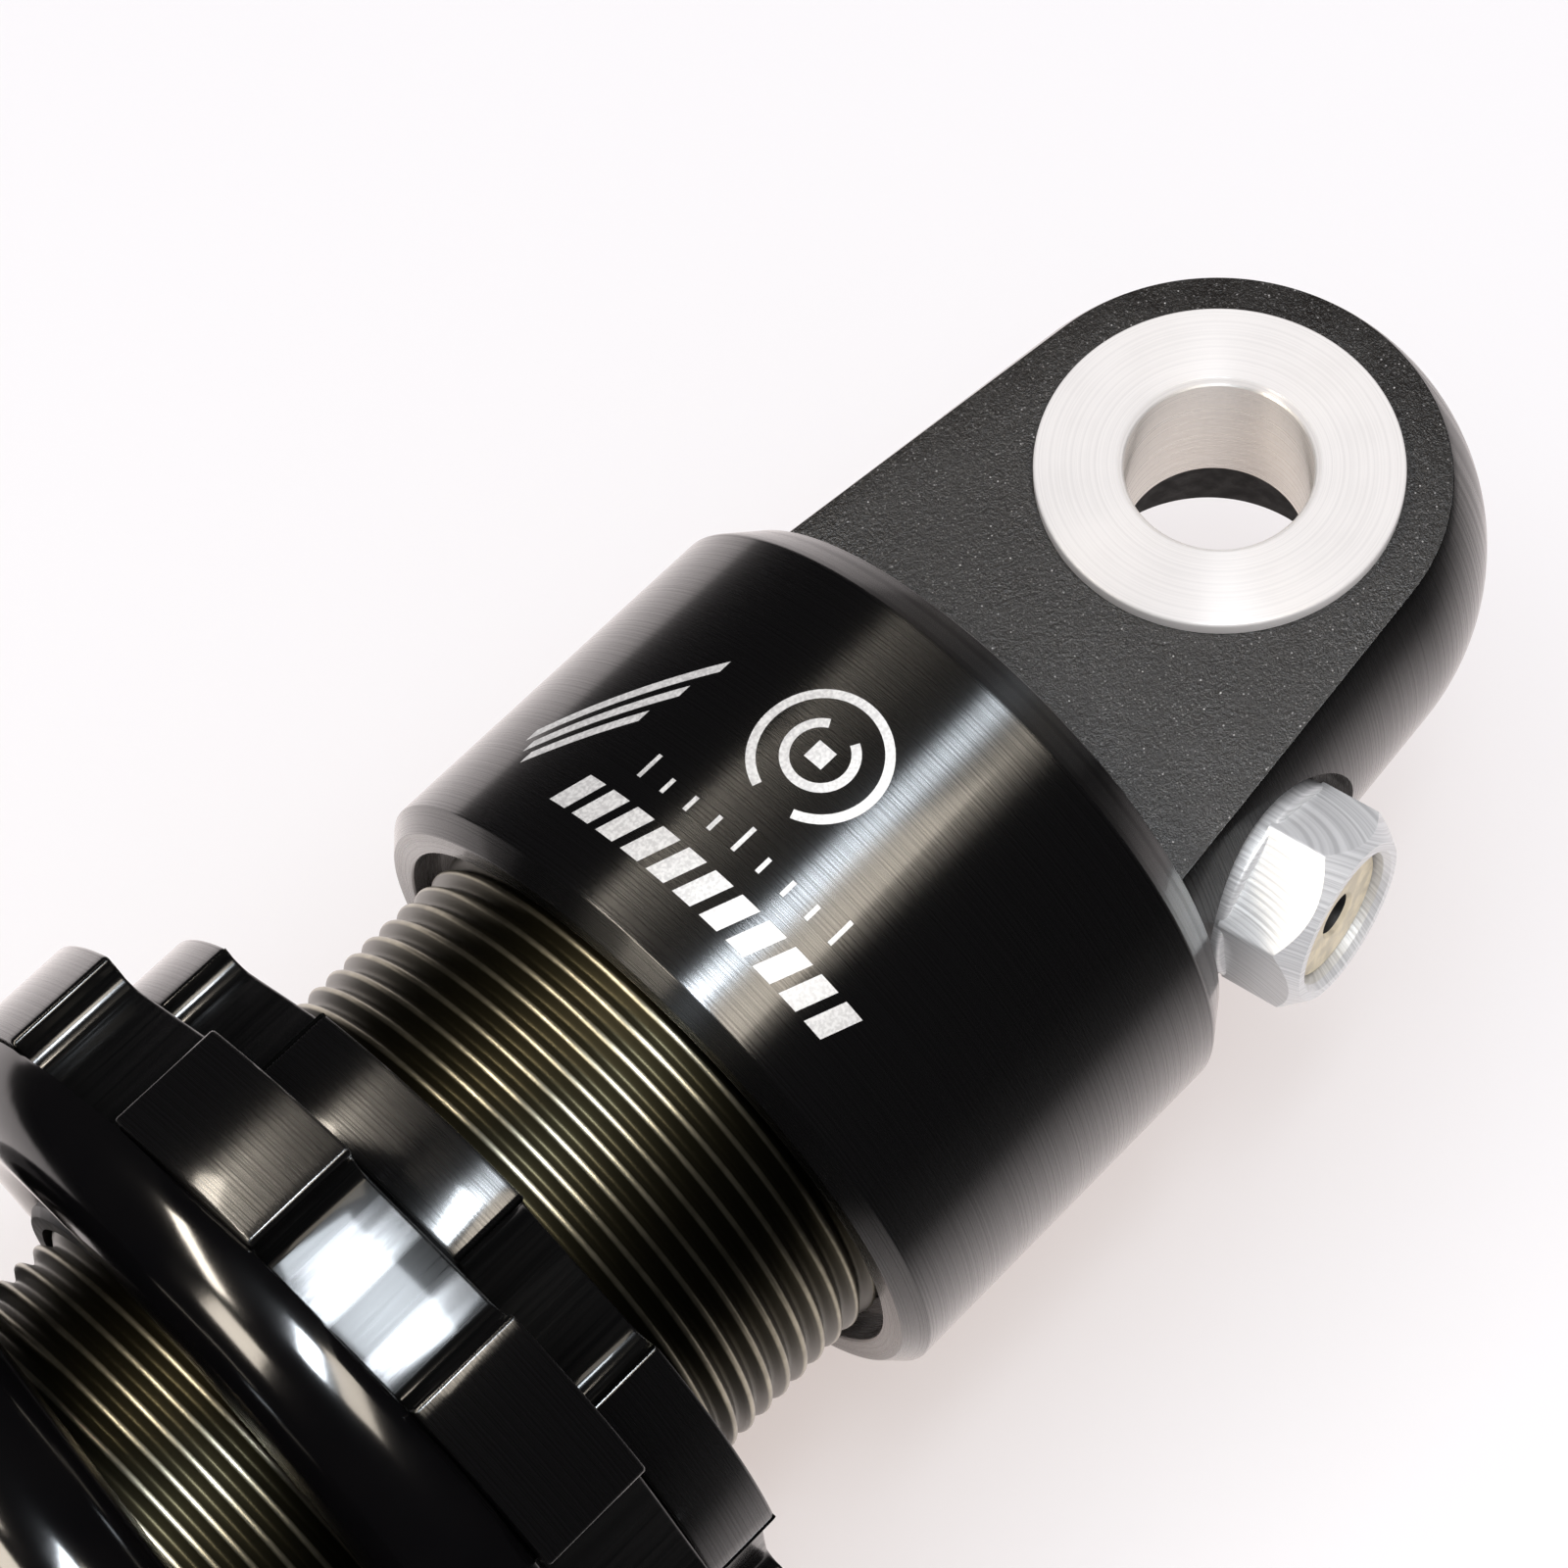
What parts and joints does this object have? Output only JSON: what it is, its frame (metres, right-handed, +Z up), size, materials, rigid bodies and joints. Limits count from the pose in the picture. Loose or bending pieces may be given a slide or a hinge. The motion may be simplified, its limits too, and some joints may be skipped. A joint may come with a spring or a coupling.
{
  "type": "rear shock",
  "caption": "Coil-over bicycle rear shock: gas-charged damper between two eye mounts, with a threaded preload collar, lock ring and rebound wheel.",
  "frame": {"origin": "middle of the eye-to-eye length, on the shock's axis in Y, at the height of the plane it lies on", "axes": "+X along the shock towards the upper eye, +Z up and along both eye bores, -Y the gas valve's side"},
  "size_m": [0.1884, 0.0408, 0.0408],
  "materials": {
    "black_anodised": "gloss black anodised, fine turning lines; bead-blasted on the eye flats",
    "thread_anodised": "dark bronze anodised thread",
    "bright_aluminium": "bright machined",
    "spring_paint": "gloss black paint",
    "steel": "plain ground steel",
    "hard_chrome": "polished hard chrome",
    "bronze": "sintered bronze bearing liner",
    "cream_rubber": "cream rubber",
    "black_rubber": "matte black rubber",
    "urethane": "amber urethane",
    "grey_polymer": "grey acetal",
    "red_anodised": "red anodised"
  },
  "bodies": {
    "damper_body": {"upper_head": "black_anodised", "upper_bush": "bronze", "gas_valve": "bright_aluminium", "valve_plug": "cream_rubber", "valve_seal": "black_rubber", "damper_tube": "thread_anodised", "head_seal": "black_rubber", "seal_head": "black_anodised", "gland_seal": "black_rubber", "shaft_bearing": "bronze", "shaft_seal": "grey_polymer", "dust_wiper": "black_rubber", "main_spring": "spring_paint"},
    "upper_eye_hardware": {"upper_spacer_top": "bright_aluminium"},
    "spring_guide_body": {"spring_guide": "grey_polymer"},
    "preload_collar_body": {"preload_collar": "black_anodised"},
    "lock_ring_body": {"lock_ring": "black_anodised"},
    "floating_piston_body": {"floating_piston": "bright_aluminium", "floating_piston_ring": "black_rubber"},
    "shaft_assembly": {"shaft": "hard_chrome", "piston": "bright_aluminium", "piston_band": "bronze", "compression_shim_1": "steel", "compression_shim_2": "steel", "compression_shim_3": "steel", "rebound_shim_1": "steel", "rebound_shim_2": "steel", "rebound_shim_3": "steel", "piston_nut": "steel", "top_out_ring": "urethane", "bump_stop": "urethane", "lower_spring_seat": "black_anodised", "lower_eyelet": "black_anodised", "lower_bush": "bronze", "eyelet_set_screw": "steel"},
    "lower_eye_hardware": {"lower_spacer_top": "bright_aluminium", "lower_spacer_bottom": "bright_aluminium"},
    "rebound_wheel_body": {"rebound_wheel": "red_anodised"},
    "rebound_needle_body": {"rebound_needle": "steel"}
  },
  "joints": [
    {"name": "shaft_slide", "type": "slide", "parent": "damper_body", "child": "shaft_assembly", "axis": [1, 0, 0], "range_m": [0, 0.035], "stiffness_N_per_m": 56000, "deforming": ["main_spring"]},
    {"name": "floating_piston_slide", "type": "slide", "parent": "damper_body", "child": "floating_piston_body", "axis": [1, 0, 0], "range_m": [0, 0.0088]},
    {"name": "upper_hardware_turn", "type": "hinge", "parent": "damper_body", "child": "upper_eye_hardware", "pos_m": [0.0825, 0, 0.0204], "axis": [0, 0, 1], "continuous": true},
    {"name": "lower_hardware_turn", "type": "hinge", "parent": "shaft_assembly", "child": "lower_eye_hardware", "pos_m": [-0.0825, 0, 0.0204], "axis": [0, 0, 1], "continuous": true},
    {"name": "preload_slide", "type": "slide", "parent": "damper_body", "child": "spring_guide_body", "axis": [1, 0, 0], "range_m": [0, 0.00401]},
    {"name": "preload_turn", "type": "hinge", "parent": "spring_guide_body", "child": "preload_collar_body", "pos_m": [0.03165, 0, 0.0204], "axis": [1, 0, 0], "range_deg": [0, 1440]},
    {"name": "lock_turn", "type": "hinge", "parent": "preload_collar_body", "child": "lock_ring_body", "pos_m": [0.0362, 0, 0.0204], "axis": [1, 0, 0], "range_deg": [0, 90]},
    {"name": "rebound_turn", "type": "hinge", "parent": "shaft_assembly", "child": "rebound_wheel_body", "pos_m": [-0.072, 0, 0.0204], "axis": [1, 0, 0], "range_deg": [0, 540]},
    {"name": "rebound_needle_slide", "type": "slide", "parent": "shaft_assembly", "child": "rebound_needle_body", "axis": [1, 0, 0], "range_m": [0, 0.00076]}
  ],
  "couplings": [
    {"joint": "floating_piston_slide", "follows": "shaft_slide", "ratio": 0.25},
    {"joint": "preload_slide", "follows": "preload_turn", "m_per_rad": 0.00015915},
    {"joint": "rebound_needle_slide", "follows": "rebound_turn", "m_per_rad": 0.000079577}
  ]
}
